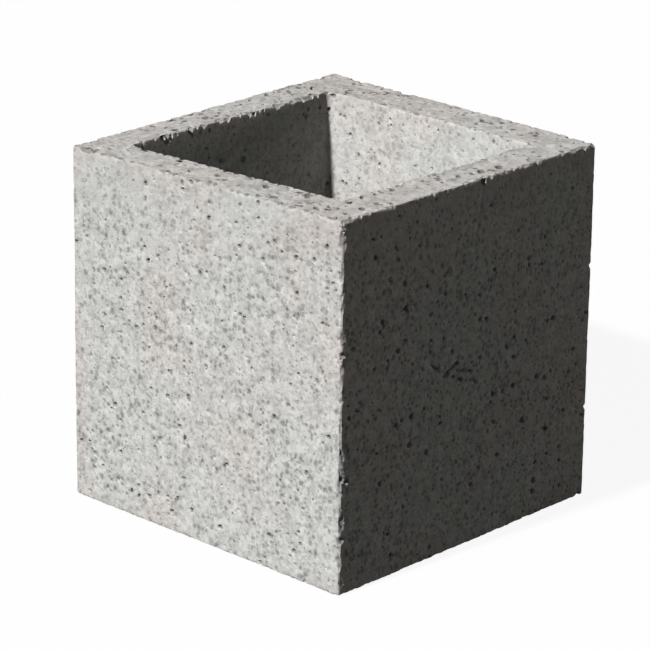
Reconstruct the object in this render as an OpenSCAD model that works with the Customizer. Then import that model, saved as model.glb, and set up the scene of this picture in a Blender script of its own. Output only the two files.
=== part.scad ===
// Hollow concrete block with one open cell, cast as one piece.
// Millimetres, +Z up. The origin is the middle of the bottom bed, and -Y is the front face.

/* [Block] */
// Width of the block across its front face
block_width = 195; // [120:1:400]
// Depth of the block from its front face to its back face
block_depth = 195; // [120:1:400]
// Height of the block from bed to bed
block_height = 200; // [90:1:400]
// Rounding of the upright outer edges
outer_edge_radius = 2; // [2:0.5:12]

/* [Cell] */
// Thickness of the left, right and back walls
wall_thickness = 25; // [15:1:45]
// Thickness of the front wall at its left end, because the cell's front face lies askew
front_wall_left = 19.5; // [15:0.5:45]
// Thickness of the front wall at its right end
front_wall_right = 27.5; // [15:0.5:45]
// Rounding of the upright corners of the cell
cell_corner_radius = 4; // [2:0.5:20]

/* [Rims] */
// Bevel that the mould leaves along the edges of the two beds
rim_bevel = 1.5; // [0.5:0.25:1.75]

/* [Hidden] */

$fn = 48;
// How far a cut runs past the face that it opens
overrun = 1;
concrete_grey = [0.77, 0.765, 0.75];

// How much the cell's front face leans, as its rise over its run, and how much longer that makes it
cell_half_width = block_width / 2 - wall_thickness;
cell_askew = (front_wall_right - front_wall_left) / (2 * cell_half_width);
cell_stretch = sqrt(1 + cell_askew * cell_askew);

// Corners of the block, anticlockwise, with each face moved out by this much
function block_corners(out) =
    let (right = block_width / 2 + out, back = block_depth / 2 + out)
    [[-right, -back], [right, -back], [right, back], [-right, back]];

// Corners of the cell, anticlockwise, with each face moved out by this much
function cell_corners(out) =
    let (
        right = cell_half_width + out,
        back = block_depth / 2 - wall_thickness + out,
        front = (front_wall_left + front_wall_right - block_depth) / 2 - out * cell_stretch
    )
    [
        [-right, front - cell_askew * right],
        [right, front + cell_askew * right],
        [right, back],
        [-right, back]
    ];

// Outline whose corners are rounded about these centres
module rounded_outline(centres, radius) {
    count = len(centres);
    // The rounding of a corner ends on the side before it and on its own side
    polygon([
        for (corner = [0 : count - 1], side = [corner + count - 1, corner])
            let (run = centres[(side + 1) % count] - centres[side % count])
            centres[corner] + radius * [run.y, -run.x] / norm(run)
    ]);
    for (centre = centres) translate(centre) circle(radius);
}

// Profile of the bevelled edge of a bed, as wide as this at its foot
module bed_profile(width) {
    polygon([
        [-width / 2, 0],
        [width / 2, 0],
        [width / 2 - rim_bevel, rim_bevel],
        [rim_bevel - width / 2, rim_bevel]
    ]);
}

// The bevelled layer under a bed, with its upright edges rounded
module bed_layer() {
    rotate([90, 0, 0])
        linear_extrude(block_depth - 2 * outer_edge_radius, center = true) bed_profile(block_width);
    rotate([90, 0, 90])
        linear_extrude(block_width - 2 * outer_edge_radius, center = true) bed_profile(block_depth);
    for (centre = block_corners(-outer_edge_radius))
        translate(centre) cylinder(h = rim_bevel, r1 = outer_edge_radius, r2 = outer_edge_radius - rim_bevel);
}

// The bevelled mouth of the cell, which widens by the bevel on every side and has mitred corners
module mouth() {
    below = cell_corners(0);
    above = cell_corners(rim_bevel);
    count = len(below);
    polyhedron(
        points = [for (p = below) [p.x, p.y, 0], for (p = above) [p.x, p.y, rim_bevel]],
        faces = [
            [for (corner = [0 : count - 1]) corner],
            [for (corner = [count - 1 : -1 : 0]) count + corner],
            for (corner = [0 : count - 1])
                let (next = (corner + 1) % count)
                [corner, count + corner, count + next, next]
        ]
    );
}

// Repeats its children at the top bed, and turned over at the bottom bed
module at_both_beds() {
    translate([0, 0, block_height - rim_bevel]) children();
    translate([0, 0, rim_bevel]) mirror([0, 0, 1]) children();
}

// The block's outside, with both beds bevelled
module outside() {
    translate([0, 0, rim_bevel])
        linear_extrude(block_height - 2 * rim_bevel)
            rounded_outline(block_corners(-outer_edge_radius), outer_edge_radius);
    at_both_beds() bed_layer();
}

// The open cell from bed to bed, with both mouths bevelled
module cell() {
    translate([0, 0, -overrun])
        linear_extrude(block_height + 2 * overrun)
            rounded_outline(cell_corners(-cell_corner_radius), cell_corner_radius);
    at_both_beds() mouth();
}

module concrete_block() {
    color(concrete_grey)
        difference() {
            outside();
            cell();
        }
}

concrete_block();
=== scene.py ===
# %% [markdown]
# # A hollow concrete block
# The real block is pressed from a dry, coarse concrete mix in a steel mould and pushed out at once.
# So it is one piece with flat faces, with open pores where the mix did not close and arrises that crumbled.
# The construction model already has its size and its cell. It is loaded first and never changed,
# and everything below is worked out from it, in metres.

# %% Load the construction model
import math

import bpy
import numpy as np
from mathutils import Matrix, Vector


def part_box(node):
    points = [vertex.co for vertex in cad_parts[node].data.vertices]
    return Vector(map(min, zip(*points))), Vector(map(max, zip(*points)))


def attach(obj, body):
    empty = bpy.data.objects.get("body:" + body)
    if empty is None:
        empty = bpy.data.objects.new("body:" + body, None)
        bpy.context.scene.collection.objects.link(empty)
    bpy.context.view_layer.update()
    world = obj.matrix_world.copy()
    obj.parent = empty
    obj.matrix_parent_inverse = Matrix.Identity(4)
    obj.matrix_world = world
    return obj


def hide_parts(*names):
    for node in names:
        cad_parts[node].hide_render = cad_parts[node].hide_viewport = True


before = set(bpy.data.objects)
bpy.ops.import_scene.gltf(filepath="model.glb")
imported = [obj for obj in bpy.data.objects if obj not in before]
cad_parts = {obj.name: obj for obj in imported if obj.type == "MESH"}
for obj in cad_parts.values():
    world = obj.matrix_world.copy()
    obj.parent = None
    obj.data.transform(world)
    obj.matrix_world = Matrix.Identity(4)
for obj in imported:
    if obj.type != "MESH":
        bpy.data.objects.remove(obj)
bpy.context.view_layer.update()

MM = 0.001

# %% [markdown]
# ## Sizes from the model
# A script that types the sizes again goes wrong as soon as the model changes. The box gives the outside.
# The cell is read from the model's own vertices: on the rings where the bevels end, the ones far from the
# sides are the cell's. Its front face lies askew, so the front wall is measured at both ends.

# %% Measure the block
BLOCK_NODE = "concrete_block"
SAME_RING = 0.01 * MM
low, high = (np.array(corner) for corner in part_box(BLOCK_NODE))
half_size = (high[:2] - low[:2]) / 2
height = high[2]


def node_vertices(node):
    """All vertices of a node of the model as one array, with a row of x, y and z for each."""
    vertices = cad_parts[node].data.vertices
    flat = np.empty(len(vertices) * 3)
    vertices.foreach_get("co", flat)
    return flat.reshape(-1, 3)


corners = node_vertices(BLOCK_NODE)
to_side = (half_size - np.abs(corners[:, :2])).min(axis=1)
to_bed = np.minimum(corners[:, 2], height - corners[:, 2])
past_bevel = np.isclose(to_bed, to_bed.max(), atol=SAME_RING)
cell_ring = corners[past_bevel & (to_side > to_side.max() / 2)]
wall = half_size[1] - cell_ring[:, 1].max()
print("wall in mm:", round(wall / MM, 2), "height in mm:", round(height / MM, 2))

# %% Measure the askew front wall
left_half, right_half = cell_ring[cell_ring[:, 0] < 0], cell_ring[cell_ring[:, 0] > 0]
left_end, right_end = (half[half[:, 1].argmin()] for half in (left_half, right_half))


def front_wall(across):
    """The front wall's thickness at a place across the block: the straight line through its two ends."""
    slope = (right_end[1] - left_end[1]) / (right_end[0] - left_end[0])
    return half_size[1] + left_end[1] + slope * (across - left_end[0])


cell_ends = np.array([wall - half_size[0], half_size[0] - wall])
print("front wall in mm, from left to right:", (front_wall(cell_ends) / MM).round(2))

# %% [markdown]
# ## The camera
# The camera stands where the photograph was taken from. Its place was found from the seven outer corners
# that show: a long lens, a little above the block, looking at one upright edge. It is made first, because
# some marks are placed by where the photograph shows them: a ray from the camera through a pixel meets
# the face there.

# %% Stand the camera
FRAME_PIXELS = 650
SENSOR = 36.0
LENS = 184.76
AZIMUTH, ELEVATION, ROLL = np.radians([43.514, 19.351, 0.483])
DISTANCE = 1.788
AIM_RIGHT, AIM_UP = -4.07 * MM, -1.88 * MM


def unit(vectors):
    """Each vector divided by its own length."""
    return vectors / np.linalg.norm(vectors, axis=-1, keepdims=True)


def camera_place():
    """Where the camera stands and its right, up and back axes.

    It stands back from the block's middle along the azimuth and elevation, turns to the aim point,
    and then rolls about its own line of sight.
    """
    middle = np.array([0.0, 0.0, height / 2])
    level = math.cos(ELEVATION)
    away = np.array([math.sin(AZIMUTH) * level, -math.cos(AZIMUTH) * level, math.sin(ELEVATION)])
    across = np.array([math.cos(AZIMUTH), math.sin(AZIMUTH), 0.0])
    eye = middle + DISTANCE * away
    back = unit(eye - (middle + AIM_RIGHT * across + AIM_UP * np.cross(away, across)))
    right = unit(np.cross([0.0, 0.0, 1.0], back))
    up = np.cross(back, right)
    cos_roll, sin_roll = math.cos(ROLL), math.sin(ROLL)
    return eye, right * cos_roll + up * sin_roll, up * cos_roll - right * sin_roll, back


eye, right, up, back = camera_place()
camera_data = bpy.data.cameras.new("photo_camera")
camera_data.lens = LENS
camera_data.sensor_width = SENSOR
camera = bpy.data.objects.new("photo_camera", camera_data)
bpy.context.scene.collection.objects.link(camera)
axes = Matrix(np.stack([right, up, back], axis=1).tolist())
camera.matrix_world = Matrix.Translation(Vector(eye)) @ axes.to_4x4()
bpy.context.scene.camera = camera
print("camera at", eye.round(3), "with a lens of", LENS, "mm")


# %% Find a place by its pixel
def on_face(pixels, axis, level):
    """Points of a flat face that show at these pixels.

    A pixel's ray is back from the camera by one focal length, right and up by the pixel's distance from the
    middle. It is followed to where its coordinate on the given axis reaches the face's level.
    """
    offset = (np.asarray(pixels, float) - FRAME_PIXELS / 2) / (FRAME_PIXELS * LENS / SENSOR)
    rays = offset[:, :1] * right - offset[:, 1:] * up - back
    reach = (level - eye[axis]) / rays[:, axis]
    return eye + reach[:, None] * rays


middle_pixel = (FRAME_PIXELS / 2, FRAME_PIXELS / 2)
print("front face meets the middle pixel at", on_face([middle_pixel], 1, low[1])[0].round(4))

# %% [markdown]
# ## The smooth cast form
# Before any pore, the block is a square ring: a rounded outline seen from above, carried round the
# section of its wall. Both are closed loops, so the surface is one closed tube with no seam.
# A box with a boolean cut would give the same form with a few huge faces, and pores need a fine even grid.
# The outline gives each point a corner to belong to and a direction, and the section gives the offset,
# the rounding and the height. Their product is the whole surface in one formula.

# %% The outline from above
STEP = 0.7 * MM
ARC_POINTS = 5


def square_outline():
    """One loop round a square, anticlockwise from above.

    Each side runs along its face from corner to corner, and each corner turns by a quarter of a circle.
    Returns each point's share of the way to the corners, and the outward direction there.
    """
    along = np.linspace(-1.0, 1.0, int(2 * half_size[0] / STEP))
    turn = np.linspace(-math.pi / 2, 0.0, ARC_POINTS + 2)[1:-1]
    side_share = np.stack([along, -np.ones_like(along)], axis=1)
    side_way = np.tile([0.0, -1.0], (len(along), 1))
    corner_share = np.tile([1.0, -1.0], (len(turn), 1))
    corner_way = np.stack([np.cos(turn), np.sin(turn)], axis=1)
    share = np.concatenate([side_share, corner_share])
    way = np.concatenate([side_way, corner_way])
    quarter = np.array([[0.0, 1.0], [-1.0, 0.0]])
    turns = [np.linalg.matrix_power(quarter, k) for k in range(4)]
    return np.concatenate([share @ t for t in turns]), np.concatenate([way @ t for t in turns])


print("points round the outline:", len(square_outline()[0]))

# %% The section of the wall
OUTER_ROUNDING = 1.2 * MM
CELL_ROUNDING = 4.0 * MM
RIM_ROUNDING = 0.8 * MM


def wall_section():
    """One loop round the wall's section: up the outside, over the rim, down the cell, under the bed.

    Returns each point's offset from the outer face, the rounding of the outline there, and the height.
    The rims turn by a quarter of a circle. Over a rim the outline's rounding changes with the offset, so that
    its corners stay concentric. Between the rims it changes evenly from the one to the other.
    """
    rise = np.arange(RIM_ROUNDING, height - RIM_ROUNDING, STEP)
    bed = np.arange(RIM_ROUNDING, wall - RIM_ROUNDING, STEP)
    turn = np.linspace(0.0, math.pi / 2, ARC_POINTS)
    over = RIM_ROUNDING * (1 - np.cos(turn))
    climb = height - RIM_ROUNDING * (1 - np.sin(turn))
    half_offset = np.concatenate([np.zeros_like(rise), over, bed, wall - over[::-1]])
    half_height = np.concatenate([rise, climb, np.full_like(bed, height), climb[::-1]])
    offset = np.concatenate([half_offset, wall - half_offset])
    level = np.concatenate([half_height, height - half_height])
    outside = OUTER_ROUNDING - np.minimum(offset, RIM_ROUNDING)
    inside = CELL_ROUNDING + np.minimum(wall - offset, RIM_ROUNDING)
    across = np.clip((offset - RIM_ROUNDING) / (wall - 2 * RIM_ROUNDING), 0.0, 1.0)
    return offset, outside + (inside - outside) * across, level


print("points round the section:", len(wall_section()[0]))


# %% The whole surface
def cast_form():
    """The smooth block as a grid of points, one row for each point of the section.

    A point is its corner share times the room inside the rounding, plus the rounding times its direction.
    """
    share, way = square_outline()
    offset, rounding, level = wall_section()
    room = half_size - (offset + rounding)[:, None]
    flat = share[None] * room[:, None] + rounding[:, None, None] * way[None]
    rise = np.broadcast_to(level[:, None, None], flat.shape[:2] + (1,))
    return np.concatenate([flat, rise], axis=2)


def outward(grid):
    """The outward normal at each grid point, square to the steps round the outline and up the section."""
    round_step = np.roll(grid, -1, axis=1) - np.roll(grid, 1, axis=1)
    rise_step = np.roll(grid, -1, axis=0) - np.roll(grid, 1, axis=0)
    return unit(np.cross(round_step, rise_step))


smooth = cast_form()
facing = outward(smooth)
print("smooth form:", smooth.shape[0], "by", smooth.shape[1], "points")

# %% [markdown]
# ## Out of true
# A fresh block that is pushed out of its mould is never quite true. The photograph shows corners that are
# off by up to about three millimetres. The grid also has to follow the model's askew front wall.
# Each corner's offset, in millimetres, is shared out over the outside of the block: a point takes it by how
# far it is on the way to that corner along all three axes, and less of it the nearer it is to the cell.

# %% Where the block is out of true
CORNER_OFFSETS = (
    ((-1, -1, 1), (0.0, 0.0, -1.5)),
    ((-1, 1, 1), (1.6, 2.8, 0.8)),
    ((1, 1, 1), (0.3, 0.3, 0.2)),
    ((1, -1, 1), (0.7, 0.7, 0.4)),
    ((1, -1, -1), (0.5, 0.5, 0.0)),
    ((-1, -1, -1), (-1.8, 0.0, 0.0)),
)


def corner_shift(places):
    """The sum of the corners' offsets, each times the product of a place's shares of the way to that corner.

    All of it is times the share of the way from the cell to the outer face.
    """
    half = np.array([*half_size, height / 2])
    way = (places - [0.0, 0.0, height / 2]) / half
    outside = 1 - (half_size - np.abs(places[..., :2])).min(axis=-1) / wall
    shift = np.zeros_like(places)
    for corner, offset in CORNER_OFFSETS:
        share = np.prod((1 + way * corner) / 2, axis=-1)
        shift += (share * outside)[..., None] * np.array(offset) * MM
    return shift


def askew_shift(places):
    """How far the front wall's cell face moves along the depth, from an even wall to the measured one.

    The move fades to nothing at the outer face one way, and at the middle of the cell the other way.
    """
    thicker = front_wall(np.clip(places[..., 0], *cell_ends)) - wall
    depths = [-half_size[1], wall - half_size[1], 0.0]
    shift = np.zeros_like(places)
    shift[..., 1] = thicker * np.interp(places[..., 1], depths, [0.0, 1.0, 0.0])
    return shift


out_of_true = corner_shift(smooth) + askew_shift(smooth)
print("most out of true, in mm:", (np.abs(out_of_true).max() / MM).round(2))

# %% [markdown]
# ## Chance that repeats
# Pores lie at random, yet the block has to come out the same each time. So chance comes from a lattice:
# space is cut into small cells, and each cell's number is stirred into a random share that never changes.
# Smooth noise blends the shares of the eight lattice points around a place. Each use stirs in a number of its
# own too, its salt, so that no two patterns are alike.

# %% Random shares on a lattice
STIR = np.array([374761393, 668265263, 2246822519, 3266489917], np.uint32)
MIDDLE_SHARE = 0.5


def cell_share(cells, salt):
    """A random share from 0 to 1 for each cell of whole numbers.

    The three numbers and the salt are multiplied by large odd numbers and added, then shifted and multiplied
    again, all within 32 bits. The result is divided by two to the power of 32.
    """
    whole = cells.astype(np.int64).astype(np.uint32)
    mixed = (whole * STIR[:3]).sum(axis=-1, dtype=np.uint32) + np.uint32(salt) * STIR[3]
    mixed = (mixed ^ (mixed >> np.uint32(15))) * STIR[2]
    mixed = (mixed ^ (mixed >> np.uint32(13))) * STIR[3]
    return (mixed ^ (mixed >> np.uint32(16))) / 2.0**32


def smooth_noise(points, size, salt):
    """Smooth noise from 0 to 1 whose lumps are about one size across.

    The eight lattice points around a place are blended by how near each is, eased so that slopes meet.
    """
    place = points / size
    corner = np.floor(place)
    near = place - corner
    near = near * near * (3 - 2 * near)
    total = np.zeros(points.shape[:-1])
    for step in np.ndindex(2, 2, 2):
        weight = np.where(step, near, 1 - near).prod(axis=-1)
        total += weight * cell_share(corner + step, salt)
    return total


print("share of three cells:", cell_share(np.array([[0, 0, 0], [1, 0, 0], [0, 1, 0]]), 1).round(3))

# %% [markdown]
# ## Pores
# A dry mix traps air between its grains, all through the wall. The mould's face cuts those voids at any
# height, so one shows as a deep well and the next as a shallow bowl, and a void on an arris takes a bite out
# of it. That is copied here: round voids are strewn through space, and each point of the surface that falls
# inside one sinks straight in until it reaches the void's far side. Painting dark dots would be quicker,
# but only real hollows catch the light and the shade as the block turns.

# %% How far a void lets the surface sink
LIP_SLOPE = 1.6
DEEPEST_PORE = 1.6 * MM
SHALLOWEST_CUT = 0.3


def sink_into(points, normals, centres, radii):
    """How far each point sinks in a round void.

    Straight in along the normal, the far side is the point's height over the void's middle plus half the
    chord there. Near the lip the sinking is the distance inside the void times a slope, so the lip is steep
    but never torn. A void whose middle lies well outside the face was pressed shut by the mould.
    """
    arm = points - centres
    over = (arm * normals).sum(axis=-1)
    square = (arm * arm).sum(axis=-1)
    half_chord = np.sqrt(np.maximum(radii * radii - square + over * over, 0.0))
    inside = radii - np.sqrt(square)
    open_void = (inside > 0) & (over > -SHALLOWEST_CUT * radii)
    sunk = np.minimum(over + half_chord, inside * LIP_SLOPE)
    return np.where(open_void, np.clip(sunk, 0.0, DEEPEST_PORE), 0.0)


def strewn_voids(points, normals, spacing, radius_range, plenty, salt):
    """How far each point sinks in voids strewn through space, one to each cell of a lattice.

    A void's middle is a random place in its cell. Its radius runs from the least to the most by the cube of
    a random share, so that small voids are common, and is scaled by how plenty pores are at the point.
    Each point looks into its own cell and the 26 around it, and the deepest void wins.
    """
    home = np.floor(points / spacing)
    least, most = radius_range
    sunk = np.zeros(len(points))
    for step in np.ndindex(3, 3, 3):
        cell = home + np.array(step) - 1
        jitter = np.stack([cell_share(cell, salt + axis) for axis in range(3)], axis=1)
        radii = (least + (most - least) * cell_share(cell, salt + 3) ** 3) * plenty
        sunk = np.maximum(sunk, sink_into(points, normals, (cell + jitter) * spacing, radii))
    return sunk


points = smooth.reshape(-1, 3)
normals = facing.reshape(-1, 3)
print("points that can sink:", len(points))

# %% [markdown]
# ## Where pores are many and where they are few
# The beds were struck off while the mix was fresh. That tore them open and dragged their pores along the
# strike, so the rims are coarser than the faces. The mix packs unevenly too: in some patches paste filled
# the pores, in others the grains stand bare. For this each point needs its distances from the faces, and
# some slow noise. Bending space with quick noise first makes the round voids ragged.

# %% Measure how far each point is from the faces
TO_CELL, TO_BED = 2, 3


def face_distances(places):
    """Each place's distance inside four kinds of face: two pairs of outer faces, the cell and the beds.

    From an outer face it is half the size less the distance from the middle, and from the cell it is the
    wall less the distance from the nearest outer face. From the beds it is the height above the lower one
    or the depth below the upper one, whichever is less.
    """
    sides = half_size - np.abs(places[:, :2])
    cell = wall - sides.min(axis=1)
    beds = np.minimum(places[:, 2], height - places[:, 2])
    return np.maximum(np.column_stack([sides, cell, beds]), 0.0)


distances = face_distances(points)
on_bed = distances[:, TO_BED] < RIM_ROUNDING / 2
print("points on the beds:", on_bed.sum())


# %% Strew the pores
def bent(places, size, reach, salt):
    """The places moved about by smooth noise, so that what is round comes out ragged.

    The move along each axis is the reach times the noise's distance from its middle.
    """
    sway = [smooth_noise(places, size, salt + axis) - MIDDLE_SHARE for axis in range(3)]
    return places + reach * np.stack(sway, axis=1)


PATCH_SIZE, PATCH_SALT = 38.0 * MM, 21
PLENTY_LEAST, PLENTY_MORE, PLENTY_ON_BED = 0.75, 0.45, 0.15
RAGGED_SIZE, RAGGED_REACH, RAGGED_SALT = 2.6 * MM, 1.6 * MM, 11
PORE_SPACING, PORE_RADII, PORE_SALT = 5.0 * MM, (0.7 * MM, 1.9 * MM), 31
BED_SPACING, BED_RADII, BED_SALT = 4.6 * MM, (1.1 * MM, 2.1 * MM), 35
STRIKE, DRAG = (-1.0, 1.0, 0.0), 0.5
plenty = PLENTY_LEAST + PLENTY_MORE * smooth_noise(points, PATCH_SIZE, PATCH_SALT) + PLENTY_ON_BED * on_bed
warped = bent(points, RAGGED_SIZE, RAGGED_REACH, RAGGED_SALT)
pores = strewn_voids(warped, normals, PORE_SPACING, PORE_RADII, plenty, PORE_SALT)
strike = unit(np.array(STRIKE))
dragged = warped[on_bed] - DRAG * (warped[on_bed] @ strike)[:, None] * strike
bed_pores = strewn_voids(dragged, normals[on_bed], BED_SPACING, BED_RADII, plenty[on_bed], BED_SALT)
pores[on_bed] = np.maximum(pores[on_bed], bed_pores)
print("deepest pore in mm:", (pores.max() / MM).round(2), "plenty up to", plenty.max().round(2))

# %% [markdown]
# ## Broken arrises
# Where two faces meet, the fresh mix has nothing to hold on to, and grains break off. Along a rim the break
# is steep: it bites a little way into the bed and runs further down the face. So the points there move
# sideways into the wall, by noise that fades with the depth below the bed. The points on the bed move along,
# less the further in they are, to squeeze the grid and keep it from folding over. At an upright arris the
# points move in from both faces, and most of all at the front one. The lower rims and the back of the cell's
# mouth came out firmer.

# %% Break the arrises
CHIP_SIZE, CHIP_SHARE, CHIP_FLATTENED = 1.9 * MM, 0.45, 0.4
CHUNK_SIZE, CHUNK_SHARE, CHUNK_WIDTH = 8.0 * MM, 0.62, 5.0 * MM
RIM_CHIP, CELL_CHIP = 5.0 * MM, 8.0 * MM
LOWER_FIRMER = 0.6
BACK_FIRMER, BACK_REACH = 0.6, 12.0 * MM
EDGE_SIZE, EDGE_SHARE, EDGE_CHIP, KNOCKED_MORE = 3.4 * MM, 0.35, 0.8 * MM, 2.2
BREAK_SLOPE = 0.6
RIM_REACH, LEAST_REACH = 7.0 * MM, 0.6 * MM
CHIP_SALT, CHUNK_SALT, EDGE_SALT = 51, 52, 53


def near(distance, reach):
    """1 on a face, falling evenly to nothing at the reach on both sides of it."""
    return np.maximum(1 - np.abs(distance) / reach, 0.0)


def broken_arrises():
    """How far each point moves along the width and the depth where an arris broke.

    The break's width is what smooth noise has above a share, times a chip's width, with chunks where slower
    noise is high. Below a bed a slope times the depth is taken off it. A point takes the whole width on the
    face itself and less of it by its distance from that face. At an upright arris the reach is twice the
    width, which leaves a level slope from face to face.
    """
    drawn_down = warped * [1, 1, CHIP_FLATTENED]
    chip = np.maximum(smooth_noise(drawn_down, CHIP_SIZE, CHIP_SALT) - CHIP_SHARE, 0.0)
    chunk = CHUNK_WIDTH * np.maximum(smooth_noise(warped, CHUNK_SIZE, CHUNK_SALT) - CHUNK_SHARE, 0.0)
    fade = BREAK_SLOPE * distances[:, TO_BED]
    loose = 1 - LOWER_FIRMER * (points[:, 2] < height / 2)
    rim = np.maximum((RIM_CHIP * chip + chunk) * loose - fade, 0.0)
    to_back = half_size[1] - wall - points[:, 1]
    loose = 1 - BACK_FIRMER * np.clip(1 - to_back / BACK_REACH, 0.0, 1.0)
    mouth = np.maximum((CELL_CHIP * chip + chunk) * loose - fade, 0.0)
    outside = half_size - np.abs(points[:, :2])
    cell_side = wall - outside
    past_end = np.maximum(cell_side[:, ::-1], 0.0)
    knocked = 1 + KNOCKED_MORE * ((points[:, 0] > 0) & (points[:, 1] < 0))
    edge = np.maximum(smooth_noise(warped, EDGE_SIZE, EDGE_SALT) - EDGE_SHARE, 0.0)
    upright = EDGE_CHIP * knocked * edge
    upright = upright * near(outside, 2 * upright[:, None] + LEAST_REACH).prod(axis=1)
    move = mouth[:, None] * near(cell_side, RIM_REACH) * near(past_end, RIM_REACH)
    move = move - rim[:, None] * near(outside, RIM_REACH) - upright[:, None]
    return np.column_stack([np.sign(points[:, :2]) * move, np.zeros(len(points))])


broken = broken_arrises()
steep = np.linalg.norm(broken, axis=1) * (1 - np.abs(normals[:, 2]))
print("broken off at most, in mm:", (steep.max() / MM).round(2))

# %% [markdown]
# ## Struck beds and slow waves
# The beds were struck off, which drags grains out and leaves the rims lumpy. The faces, which the mould held,
# only wave a little.

# %% Lumps and waves
BED_GRAIN, BED_ROUGHNESS, STRUCK_SALT = 2.8 * MM, 0.9 * MM, 63
SLOW_WAVE, SLOW_SIZE, SLOW_SALT = 0.3 * MM, 45.0 * MM, 61
QUICK_WAVE, QUICK_SIZE, QUICK_SALT = 0.2 * MM, 4.0 * MM, 62
inward = -normals / np.abs(normals).max(axis=1, keepdims=True)
lumps = smooth_noise(warped, BED_GRAIN, STRUCK_SALT)
struck = BED_ROUGHNESS * lumps * np.exp(-distances[:, TO_BED] / RIM_ROUNDING)
waves = SLOW_WAVE * smooth_noise(points, SLOW_SIZE, SLOW_SALT)
waves = waves + QUICK_WAVE * smooth_noise(points, QUICK_SIZE, QUICK_SALT)
print("bed roughness in mm:", (struck[on_bed].std() / MM).round(2))

# %% [markdown]
# ## Marks that this block has
# Some marks are this block's own. The widest pores that the photograph shows are put where it shows them,
# by the pixel: each is listed from an enlarged view, with its width. A gouge and a score mark cross
# the shaded face. They are strokes, each with two end pixels, a width and a depth in millimetres.

# %% Pores placed one by one
FRONT_PORES = (
    (196, 207, 2.4), (228, 222, 2.6), (238, 246, 3.2), (248, 249, 2.4), (266, 244, 3.0), (276, 235, 2.2),
    (285, 235, 2.6), (261, 260, 3.4), (235, 255, 2.2), (280, 252, 2.4), (294, 252, 2.4), (306, 254, 2.4),
    (312, 260, 3.0), (320, 264, 2.2), (87, 235, 2.4), (140, 240, 2.2), (144, 246, 2.6), (179, 242, 2.2),
    (164, 281, 2.4), (166, 287, 3.0), (223, 288, 2.6), (122, 309, 2.6), (80, 312, 2.4), (239, 315, 2.8),
    (105, 314, 2.6), (144, 196, 2.4), (85, 206, 2.4), (151, 388, 3.2), (169, 372, 2.6), (164, 354, 2.4),
    (119, 358, 2.6), (273, 417, 3.4), (287, 406, 2.6), (297, 375, 2.8), (189, 400, 2.8), (207, 411, 2.4),
    (238, 456, 2.8), (196, 461, 3.0), (224, 467, 2.8), (228, 503, 3.2), (192, 511, 3.4), (218, 527, 3.0),
    (246, 523, 2.6), (280, 482, 2.8), (297, 533, 2.4), (295, 536, 2.4), (291, 544, 2.0), (94, 432, 2.4),
    (109, 431, 2.6), (83, 441, 3.0), (95, 468, 2.8), (104, 466, 2.6), (140, 487, 2.8), (140, 497, 3.0),
    (150, 488, 2.6), (168, 502, 2.8), (121, 436, 2.4), (140, 450, 2.4), (108, 388, 2.6),
)
TOP_PORES = (
    (269, 193, 2.6), (279, 193, 2.4), (291, 195, 3.2), (299, 202, 2.4), (321, 206, 2.4), (336, 207, 2.6),
    (210, 179, 2.8), (427, 175, 4.0), (438, 179, 4.2), (470, 162, 2.8), (477, 126, 2.6), (498, 132, 2.6),
    (536, 140, 3.6), (565, 147, 2.4),
)
CELL_PORES = ((340, 115, 2.6), (438, 130, 2.4), (473, 140, 2.4), (386, 168, 2.2), (362, 140, 2.2))
SHADED_PORES = (
    (483, 182, 5.0), (507, 348, 3.0), (401, 359, 2.6), (547, 321, 2.8), (428, 316, 2.4), (568, 372, 2.4),
)
PORE_DEPTH_SHARE = 0.25


def placed_voids(marks, axis, level, way_in):
    """How far each point sinks in the voids of one face that are listed one by one.

    A mark is a pixel across, a pixel down and a width in millimetres. A void's middle lies straight in from
    its place on the face, by a share of its radius.
    """
    table = np.array(marks)
    radii = table[:, 2] * MM / 2
    centres = on_face(table[:, :2], axis, level)
    centres[:, axis] += way_in * PORE_DEPTH_SHARE * radii
    sunk = np.zeros(len(points))
    for centre, radius in zip(centres, radii):
        close = (np.abs(warped - centre) < radius).all(axis=1)
        sunk[close] = np.maximum(sunk[close], sink_into(warped[close], normals[close], centre, radius))
    return sunk


placed = np.maximum.reduce([
    placed_voids(FRONT_PORES, 1, low[1], 1),
    placed_voids(TOP_PORES, 2, height, -1),
    placed_voids(CELL_PORES, 1, high[1] - wall, 1),
    placed_voids(SHADED_PORES, 0, high[0], -1),
])
print("pores placed by eye:", sum(map(len, (FRONT_PORES, TOP_PORES, CELL_PORES, SHADED_PORES))))

# %% Score the shaded face
SCORES = (
    ((483, 183), (474, 250), 1.4, 0.35), ((442, 378), (456, 363), 1.0, 1.3),
    ((456, 372), (470, 371), 1.0, 1.2), ((429, 366), (437, 374), 1.0, 0.9),
    ((457, 379), (460, 381), 1.0, 1.1), ((473, 381), (475, 383), 1.0, 1.0),
)


def stroke(start, end, axis, level, width):
    """1 along a straight stroke between two pixels of a face, and a bell of the given width beside it.

    The bell is e to the power of minus the square of a distance over the width. The distance is that from
    the nearest point of the stroke.
    """
    first, last = on_face((start, end), axis, level)
    run = last - first
    share = np.clip((warped - first) @ run / (run @ run), 0.0, 1.0)
    away = np.linalg.norm(warped - first - share[:, None] * run, axis=1)
    return np.exp(-((away / width) ** 2))


scores = np.maximum.reduce([
    deepest * MM * stroke(start, end, 0, high[0], width * MM) for start, end, width, deepest in SCORES
])
sunk = np.maximum.reduce([pores, placed, struck]) + waves + scores
print("mean depth in mm:", (sunk.mean() / MM).round(3), "deepest:", (sunk.max() / MM).round(2))
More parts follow.
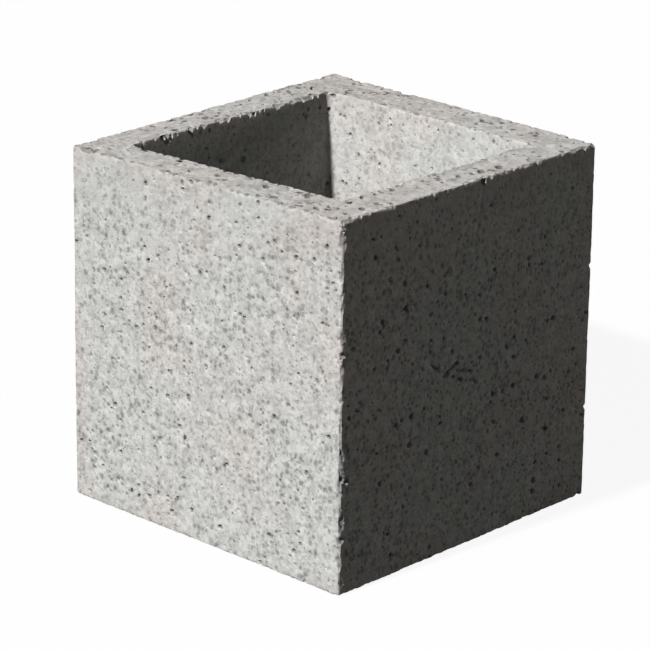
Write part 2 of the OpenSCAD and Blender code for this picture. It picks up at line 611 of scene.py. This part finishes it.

# %% [markdown]
# ## What the colour needs to know
# Colour follows the way the block was made and used. Paste blushes brown along the arrises and in patches,
# and one such patch lies on the front. Worn rims are duller and calmer than the faces. Paste rose while the
# mix was shaken, so a skin of it closes the outer faces towards the top. The cell's walls have fewer pits and
# calmer grain, and a lighter tone that is partly painted bounce light. Dust with painted shade darkens every
# hollow, the broken arrises and the surfaces that lean halfway. These are worked out here on the grid, and
# each vertex keeps them as plain numbers that the material reads.

# %% Wear and blush
WEAR_REACH = 1.2 * MM
BLUSH_REACH, BLUSH_PATCH, BLUSH_SALT = 13.0 * MM, 33.0 * MM, 71
BLUSH_BY_EDGES, BLUSH_ON_RIM, BLUSH_BY_PATCH = 0.75, 0.5, 1.5
BLUSHED_START, BLUSHED_END, BLUSHED_WIDTH = (240, 245), (335, 232), 9.0 * MM
worn_rim = np.exp(-distances[:, TO_BED] / WEAR_REACH)
cell_walls = (distances[:, TO_CELL] < RIM_ROUNDING) * (1 - worn_rim)
by_edges = np.exp(-np.sort(distances, axis=1)[:, 1] / BLUSH_REACH) + BLUSH_ON_RIM * worn_rim
by_patch = smooth_noise(points, BLUSH_PATCH, BLUSH_SALT) - MIDDLE_SHARE
blush = BLUSH_BY_EDGES * by_edges + BLUSH_BY_PATCH * by_patch
blush = blush + stroke(BLUSHED_START, BLUSHED_END, 1, low[1], BLUSHED_WIDTH)
print("blush from", blush.min().round(2), "to", blush.max().round(2))

# %% Open and closed paste
OPEN_PATCH, OPEN_PATCH_SHARE, OPEN_PATCH_SALT = 30.0 * MM, 0.7, 72
OPEN_SPOT, OPEN_SPOT_SHARE, OPEN_SPOT_SALT = 12.0 * MM, 0.3, 73
CLOSED_RIM, CLOSED_CELL = 0.15, 0.1
CALM_RIM, CELL_CALM_AND_PAINTED_LIGHT, CALM_SKIN = 0.3, 0.3, 0.7
SKIN_REACH = 20.0 * MM
openness = OPEN_PATCH_SHARE * smooth_noise(points, OPEN_PATCH, OPEN_PATCH_SALT)
openness = openness + OPEN_SPOT_SHARE * smooth_noise(points, OPEN_SPOT, OPEN_SPOT_SALT)
openness = openness - CLOSED_RIM * worn_rim - CLOSED_CELL * cell_walls
skin = np.exp((points[:, 2] - height) / SKIN_REACH) * (1 - worn_rim - cell_walls)
# The calm tone is lighter than the grain, so on the cell's walls it is partly painted bounce light.
calm = CALM_RIM * worn_rim + CELL_CALM_AND_PAINTED_LIGHT * cell_walls + CALM_SKIN * skin
print("openness from", openness.min().round(2), "to", openness.max().round(2))

# %% Dust and painted shade, and what each vertex keeps
BROKEN_PAINTED_SHADE, LEANING_PAINTED_SHADE = 1.1, 0.6 * MM
# Painted shade where the surface leans halfway, which dims arrises that face the lamp. Four times a share
# times the rest of it is 1 where the surface leans halfway, and 0 on flats and uprights.
leaning_shade = 4 * LEANING_PAINTED_SHADE * normals[:, 2] ** 2 * (1 - normals[:, 2] ** 2)
# Broken slopes take painted shade by how far they broke, which dims those that face the lamp.
dust_and_shade_depth = np.maximum.reduce([pores, placed, scores, BROKEN_PAINTED_SHADE * steep, leaning_shade])
vertex_values = {
    "dust_and_shade_mm": dust_and_shade_depth / MM, "blush": np.clip(blush, 0.0, 1.0), "openness": openness, "worn_rim": worn_rim,
    "calm": calm, "skin": skin,
}
print("means:", {name: values.mean().round(2) for name, values in vertex_values.items()})

# %% [markdown]
# ## One closed mesh
# The sunk grid has well over a million triangles, most of them on flat concrete. Decimate folds the flat
# ones together and keeps the pores, so that the piece stays light enough to be used again.

# %% Build the mesh
MOST_TRIANGLES = 196_000
SHARP_ANGLE = math.radians(40)


def closed_tube(name, grid):
    """A mesh from a grid that closes both ways. Each square joins a point to the next ones round and up."""
    rows, columns = grid.shape[:2]
    index = np.arange(rows * columns).reshape(rows, columns)
    beyond = np.roll(index, -1, axis=1)
    corners = [index, beyond, np.roll(beyond, -1, axis=0), np.roll(index, -1, axis=0)]
    squares = np.stack(corners, axis=2).reshape(-1, 4)
    mesh = bpy.data.meshes.new(name)
    mesh.vertices.add(index.size)
    mesh.vertices.foreach_set("co", grid.astype(np.float32).ravel())
    mesh.loops.add(squares.size)
    mesh.loops.foreach_set("vertex_index", squares.astype(np.int32).ravel())
    mesh.polygons.add(len(squares))
    mesh.polygons.foreach_set("loop_start", np.arange(0, squares.size, 4, dtype=np.int32))
    mesh.update(calc_edges=True)
    return mesh


def store(mesh, name, values):
    """Keeps one number for each vertex, as an attribute of that name."""
    attribute = mesh.attributes.new(name, "FLOAT", "POINT")
    attribute.data.foreach_set("value", values.astype(np.float32))


def settle(item):
    """Makes what an object's modifiers give its own mesh, and removes the mesh that it had."""
    before = item.data
    after = bpy.data.meshes.new_from_object(item.evaluated_get(bpy.context.evaluated_depsgraph_get()))
    item.modifiers.clear()
    item.data = after
    bpy.data.meshes.remove(before)
    after.name = item.name


PIECE_NAME = "concrete_block_cast"
rough = (points + inward * sunk[:, None] + broken).reshape(smooth.shape) + out_of_true
piece = bpy.data.objects.new(PIECE_NAME, closed_tube(PIECE_NAME, rough))
bpy.context.scene.collection.objects.link(piece)
for name, values in vertex_values.items():
    store(piece.data, name, values)
fold = piece.modifiers.new("fold_flat_triangles", "DECIMATE")
fold.ratio = min(1.0, MOST_TRIANGLES / (2 * len(piece.data.polygons)))
settle(piece)
piece.data.shade_smooth()
piece.data.set_sharp_from_angle(angle=SHARP_ANGLE)
print("triangles kept:", sum(len(p.vertices) - 2 for p in piece.data.polygons))

# %% [markdown]
# A smooth normal is the mean of the faces round a vertex. Where a wide flat triangle meets the steep little
# ones of a pore, an even mean would tilt the flat and leave a streak. Here each face counts by its area, so
# the flat stays flat.

# %% Let wide faces lead the shading
WIDE_FACES_LEAD = 100
level_shading = piece.modifiers.new("level_shading", "WEIGHTED_NORMAL")
level_shading.mode = "FACE_AREA"
level_shading.weight = WIDE_FACES_LEAD
level_shading.keep_sharp = True
settle(piece)
print("custom normals:", piece.data.has_custom_normals)

# %% [markdown]
# ## The concrete
# Close up, the face is sand set in grey paste. Grains stand a little proud with narrow valleys between them,
# small pits are left where a grain fell out or air was caught, and paste and sand differ in tone.
# All of it is drawn in three dimensions from Object coordinates, so that grain runs on round an arris
# and into the pores, and nothing stretches. Relief this fine goes into the bump, and the same masks darken
# the colour, because a pit keeps dust and shade.

# %% Helpers that put nodes together
concrete = bpy.data.materials.new("concrete")
concrete.use_nodes = True
tree = concrete.node_tree


def put(kind, inputs, **settings):
    """Adds a node with these settings. Each input is given a number, a colour or the socket that feeds it."""
    node = tree.nodes.new(kind)
    for name, value in settings.items():
        setattr(node, name, value)
    for key, value in inputs.items():
        if isinstance(value, bpy.types.NodeSocket):
            tree.links.new(value, node.inputs[key])
        else:
            node.inputs[key].default_value = value
    return node


def reckon(operation, first, second):
    """The result of one sum of two values."""
    return put("ShaderNodeMath", {0: first, 1: second}, operation=operation).outputs[0]


def ease(value, start, end):
    """A value carried smoothly from 0 at the start to 1 at the end, and held past both."""
    ends = {"Value": value, "From Min": start, "From Max": end}
    return put("ShaderNodeMapRange", ends, interpolation_type="SMOOTHSTEP").outputs[0]


def blend(share, first, second):
    """A colour between two colours."""
    mix = put("ShaderNodeMix", {0: share, 6: first, 7: second}, data_type="RGBA")
    return mix.outputs[2]


def kept(name):
    """A number that was stored on the mesh."""
    return put("ShaderNodeAttribute", {}, attribute_name=name).outputs["Fac"]


object_place = put("ShaderNodeTexCoord", {}).outputs["Object"]
print("nodes so far:", len(tree.nodes))

# %% Patterns in space
WARP_SIZE, WARP, WARP_DETAIL = 2.4 * MM, 1.5 * MM, 1.0
NOISE_ROUGHNESS = 0.6
MIDDLE_GREY = (MIDDLE_SHARE, MIDDLE_SHARE, MIDDLE_SHARE)
SMALL_ARE_COMMON, LEAST_WIDTH = 1.6, 0.02
PIT_LIP, PIT_FLOOR = 1.3, 0.4


def noise(place, size, detail):
    """Soft noise whose lumps are about one size across."""
    inputs = {"Vector": place, "Scale": 1 / size, "Detail": detail, "Roughness": NOISE_ROUGHNESS}
    return put("ShaderNodeTexNoise", inputs)


def cells(place, size):
    """Random cells: the distance to the nearest cell's middle, as a share of the size, and a random share."""
    voronoi = put("ShaderNodeTexVoronoi", {"Vector": place, "Scale": 1 / size})
    parts = put("ShaderNodeSeparateColor", {"Color": voronoi.outputs["Color"]})
    return voronoi.outputs["Distance"], parts.outputs[0]


def ragged_place(place):
    """The place moved about by soft noise, so that round cells come out ragged."""
    drift = noise(place, WARP_SIZE, WARP_DETAIL).outputs["Color"]
    sway = put("ShaderNodeVectorMath", {0: drift, 1: MIDDLE_GREY}, operation="SUBTRACT")
    far = put("ShaderNodeVectorMath", {0: sway.outputs[0], "Scale": WARP}, operation="SCALE")
    return put("ShaderNodeVectorMath", {0: place, 1: far.outputs[0]}, operation="ADD").outputs[0]


def pits(place, spacing, widest, openness):
    """A mask of small pits, one to a cell. Their width grows with a random share and with the openness."""
    distance, share = cells(place, spacing)
    grown = reckon("MULTIPLY", openness, widest)
    width = reckon("MULTIPLY", reckon("POWER", share, SMALL_ARE_COMMON), grown)
    return ease(reckon("DIVIDE", distance, reckon("ADD", width, LEAST_WIDTH)), PIT_LIP, PIT_FLOOR)


ragged = ragged_place(object_place)
print("nodes with the ragged place:", len(tree.nodes))

# %% Grain, pits and paste
OPEN_AT_LEAST = 0.55
GRAIN_SIZE, VALLEY_START, VALLEY_END = 2.3 * MM, 0.42, 0.80
PIT_SPACING, PIT_WIDEST = 3.4 * MM, 0.5
SPECK_SPACING, SPECK_WIDEST = 1.9 * MM, 0.42
FINE_SIZE, FINE_DETAIL = 1.5 * MM, 1.0
MOTTLE_SIZE, MOTTLE_DETAIL = 5.0 * MM, 2.0
STAIN_SIZE, STAIN_DETAIL, STAIN_START, STAIN_END = 10.0 * MM, 1.0, 0.46, 0.66
BLOTCH_SIZE, BLOTCH_DETAIL, BLOTCH_START, BLOTCH_END = 2.6 * MM, 1.0, 0.5, 0.7
opened = reckon("ADD", kept("openness"), OPEN_AT_LEAST)
grain_distance, grain_share = cells(ragged, GRAIN_SIZE)
valley = ease(grain_distance, VALLEY_START, VALLEY_END)
pit = pits(ragged, PIT_SPACING, PIT_WIDEST, opened)
speck = pits(ragged, SPECK_SPACING, SPECK_WIDEST, opened)
fine = noise(object_place, FINE_SIZE, FINE_DETAIL).outputs[0]
mottle = noise(object_place, MOTTLE_SIZE, MOTTLE_DETAIL).outputs[0]
stain = ease(noise(object_place, STAIN_SIZE, STAIN_DETAIL).outputs[0], STAIN_START, STAIN_END)
blotch = ease(noise(object_place, BLOTCH_SIZE, BLOTCH_DETAIL).outputs[0], BLOTCH_START, BLOTCH_END)
print("nodes with the grain:", len(tree.nodes))

# %% [markdown]
# ## Tone
# One tone goes over the whole block and is multiplied into the colour of the paste. Grain and blotches vary
# it first, and the valleys, specks and pits darken it as painted shade, less where the surface is calm. Then
# come the slow mottle, the worn rims, the skin, the stains on the rims, and last dust with painted shade,
# which starts a little way down in a hollow.

# %% Colour
PASTE = (0.615, 0.617, 0.592, 1.0)
BLUSHED = (0.628, 0.593, 0.565, 1.0)
FINE_TONE, GRAIN_TONE, MOTTLE_TONE, CALM_TONE = 0.22, 0.16, 0.72, 1.06
VALLEY_PAINTED_SHADE, BLOTCH_SHADE, SPECK_PAINTED_SHADE, PIT_PAINTED_SHADE = 0.08, 0.24, 0.28, 0.40
WORN_SHADE, SKIN_SHADE, STAIN_SHADE = 0.13, 0.13, 0.22
DUST_AND_SHADE_STARTS_MM, DUST_AND_SHADE_FULL_MM, DUST_AND_PAINTED_SHADE, RIM_DUST_AND_PAINTED_SHADE = 0.2, 0.9, 0.40, 0.38


def darkened(tone, mask, by):
    """The tone times one less a share of the mask."""
    return reckon("MULTIPLY", tone, reckon("SUBTRACT", 1.0, reckon("MULTIPLY", mask, by)))


def varied(tone, share, by):
    """The tone plus a random share's distance from its middle, times an amount."""
    return reckon("ADD", tone, reckon("MULTIPLY", reckon("SUBTRACT", share, MIDDLE_SHARE), by))


base = blend(kept("blush"), PASTE, BLUSHED)
grainy = varied(1.0, fine, FINE_TONE)
grainy = varied(grainy, grain_share, GRAIN_TONE)
# Valleys, specks and pits darken the tone as painted shade, and blotches darken it as random tone.
for mask, shade in ((valley, VALLEY_PAINTED_SHADE), (blotch, BLOTCH_SHADE), (speck, SPECK_PAINTED_SHADE), (pit, PIT_PAINTED_SHADE)):
    grainy = darkened(grainy, mask, shade)
tone = put("ShaderNodeMix", {0: kept("calm"), 2: grainy, 3: CALM_TONE}).outputs[0]
tone = varied(tone, mottle, MOTTLE_TONE)
tone = darkened(tone, kept("worn_rim"), WORN_SHADE)
tone = darkened(tone, kept("skin"), SKIN_SHADE)
# Dust with painted shade darkens the hollows and the broken and leaning arrises, and the rims' pores even
# more.
dust_and_shade = ease(kept("dust_and_shade_mm"), DUST_AND_SHADE_STARTS_MM, DUST_AND_SHADE_FULL_MM)
tone = darkened(tone, reckon("MULTIPLY", kept("worn_rim"), stain), STAIN_SHADE)
tone = darkened(tone, reckon("MULTIPLY", kept("worn_rim"), dust_and_shade), RIM_DUST_AND_PAINTED_SHADE)
tone = darkened(tone, dust_and_shade, DUST_AND_PAINTED_SHADE)
colour = put("ShaderNodeVectorMath", {0: base, "Scale": tone}, operation="SCALE").outputs[0]
print("nodes with the colour:", len(tree.nodes))

# %% [markdown]
# ## Relief
# Relief of a fifth of a millimetre or less needs no mesh: a bump bends the shading as if the surface had it.
# It is reckoned in millimetres. The masks that darken the colour are carved out of it too, so that a dark
# pit is also a hollow one. Concrete is dull all over, so one high roughness serves the whole block.

# %% Relief and shader
FINE_HEIGHT_MM, VALLEY_DEPTH_MM, SPECK_DEPTH_MM, PIT_DEPTH_MM = 0.08, 0.05, 0.08, 0.20
ROUGHNESS, SPECULAR = 0.95, 0.2


def carved(relief, mask, depth):
    """The relief less a depth where the mask is, in millimetres."""
    return reckon("SUBTRACT", relief, reckon("MULTIPLY", mask, depth))


relief = reckon("MULTIPLY", fine, FINE_HEIGHT_MM)
for mask, depth in ((valley, VALLEY_DEPTH_MM), (speck, SPECK_DEPTH_MM), (pit, PIT_DEPTH_MM)):
    relief = carved(relief, mask, depth)
bump = put("ShaderNodeBump", {"Height": relief, "Strength": 1.0, "Distance": MM})
shader = tree.nodes["Principled BSDF"]
shader.inputs["Roughness"].default_value = ROUGHNESS
shader.inputs["Specular IOR Level"].default_value = SPECULAR
tree.links.new(colour, shader.inputs["Base Color"])
tree.links.new(bump.outputs["Normal"], shader.inputs["Normal"])
piece.data.materials.append(concrete)
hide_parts(BLOCK_NODE)
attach(piece, "root")
print("nodes in all:", len(tree.nodes))

# %% [markdown]
# ## Floor and background
# The block stands on a white ground. If that white came from more light, the light would wash out the
# concrete. So the floor and the world only look white to the camera, and to mirrors and glass, which Light
# Path can tell. To all other rays they are dark, because the shaded face shows that little light came back
# from the ground. A small share of plain diffuse in the floor keeps the block's shadow.

# %% White to the camera alone
FLOOR_HALF = 6.0
FLOOR_SEEN, FLOOR_LIT = (0.9, 0.9, 0.9, 1.0), (0.08, 0.08, 0.08, 1.0)
FLOOR_GLOW_SHARE = 0.92


def seen_directly(nodes, links):
    """1 for rays from the camera, from a mirror or through glass, and 0 for light on its way to the block."""
    path = nodes.new("ShaderNodeLightPath")
    total = path.outputs["Is Camera Ray"]
    for name in ("Is Glossy Ray", "Is Transmission Ray"):
        either = nodes.new("ShaderNodeMath")
        either.operation = "MAXIMUM"
        links.new(total, either.inputs[0])
        links.new(path.outputs[name], either.inputs[1])
        total = either.outputs[0]
    return total


def floor_material():
    """Dark to light on its way, and to the camera mostly glow with a little diffuse that shows the shadow."""
    material = bpy.data.materials.new("pale_floor")
    material.use_nodes = True
    nodes, links = material.node_tree.nodes, material.node_tree.links
    nodes.clear()
    lit, seen = nodes.new("ShaderNodeBsdfDiffuse"), nodes.new("ShaderNodeBsdfDiffuse")
    lit.inputs["Color"].default_value = FLOOR_LIT
    seen.inputs["Color"].default_value = FLOOR_SEEN
    glow = nodes.new("ShaderNodeEmission")
    shadow_mix, ray_mix = nodes.new("ShaderNodeMixShader"), nodes.new("ShaderNodeMixShader")
    shadow_mix.inputs[0].default_value = FLOOR_GLOW_SHARE
    links.new(seen.outputs[0], shadow_mix.inputs[1])
    links.new(glow.outputs[0], shadow_mix.inputs[2])
    links.new(seen_directly(nodes, links), ray_mix.inputs[0])
    links.new(lit.outputs[0], ray_mix.inputs[1])
    links.new(shadow_mix.outputs[0], ray_mix.inputs[2])
    links.new(ray_mix.outputs[0], nodes.new("ShaderNodeOutputMaterial").inputs["Surface"])
    return material


floor_mesh = bpy.data.meshes.new("floor")
floor_corners = [(x * FLOOR_HALF, y * FLOOR_HALF, 0.0) for x, y in ((-1, -1), (1, -1), (1, 1), (-1, 1))]
floor_mesh.from_pydata(floor_corners, [], [(0, 1, 2, 3)])
floor_mesh.materials.append(floor_material())
floor = bpy.data.objects.new("floor", floor_mesh)
bpy.context.scene.collection.objects.link(floor)
print("floor", 2 * FLOOR_HALF, "m across")

# %% A white world
FILL, WORLD_SEEN = 0.035, 1.0
WORLD_COLOUR = (1.0, 1.0, 1.0, 1.0)
world = bpy.data.worlds.new("studio")
world.use_nodes = True
bpy.context.scene.world = world
world_nodes, world_links = world.node_tree.nodes, world.node_tree.links
background = world_nodes["Background"]
background.inputs["Color"].default_value = WORLD_COLOUR
strength = world_nodes.new("ShaderNodeMix")
strength.inputs["A"].default_value = FILL
strength.inputs["B"].default_value = WORLD_SEEN
world_links.new(seen_directly(world_nodes, world_links), strength.inputs["Factor"])
world_links.new(strength.outputs["Result"], background.inputs["Strength"])
print("fill light:", FILL)

# %% [markdown]
# ## Light
# One soft lamp stands high in front, so the front is light, the right face is in shade, and the wall of the
# cell that is turned away is nearly as dark. Light that bounces between the walls would lift that shade more
# than the photograph shows. A studio soaks it up with black card. Here most of the lamp is a twin
# that may not bounce at all. A weak, warm lamp stands low at the side and grazes the shaded face, which
# brings its grain out without lifting the shade. Another from behind keeps the far sides from going black.

# %% Hang the lamps
KEY_TO_LIGHT, KEY_STRENGTH, KEY_ANGLE = (-0.07, -1.1, 1.0), 4.25, 2.5
BOUNCE_SHARE = 0.31
SIDE_TO_LIGHT, SIDE_STRENGTH, SIDE_ANGLE = (0.35, 0.9, 0.06), 0.38, 15.0
SIDE_COLOUR = (1.0, 0.96, 0.88)
BEHIND_TO_LIGHT, BEHIND_STRENGTH, BEHIND_ANGLE = (-0.8, 0.6, 0.03), 1.3, 4.0


def hang_sun(name, to_light, strength, angle, colour=(1.0, 1.0, 1.0)):
    """A sun whose light comes from the given direction. Its angle sets how soft the shadow's edge is."""
    data = bpy.data.lights.new(name, "SUN")
    data.color = colour
    data.energy = strength
    data.angle = math.radians(angle)
    lamp = bpy.data.objects.new(name, data)
    lamp.rotation_mode = "QUATERNION"
    lamp.rotation_quaternion = Vector(to_light).to_track_quat("Z", "Y")
    bpy.context.scene.collection.objects.link(lamp)
    return data


hang_sun("key", KEY_TO_LIGHT, KEY_STRENGTH * BOUNCE_SHARE, KEY_ANGLE)
flagged = hang_sun("key_without_bounce", KEY_TO_LIGHT, KEY_STRENGTH * (1 - BOUNCE_SHARE), KEY_ANGLE)
flagged.cycles.max_bounces = 0
hang_sun("side", SIDE_TO_LIGHT, SIDE_STRENGTH, SIDE_ANGLE, SIDE_COLOUR)
hang_sun("behind", BEHIND_TO_LIGHT, BEHIND_STRENGTH, BEHIND_ANGLE)
bpy.context.scene.view_settings.view_transform = "Standard"
print("lamps:", [lamp.name for lamp in bpy.data.lights])
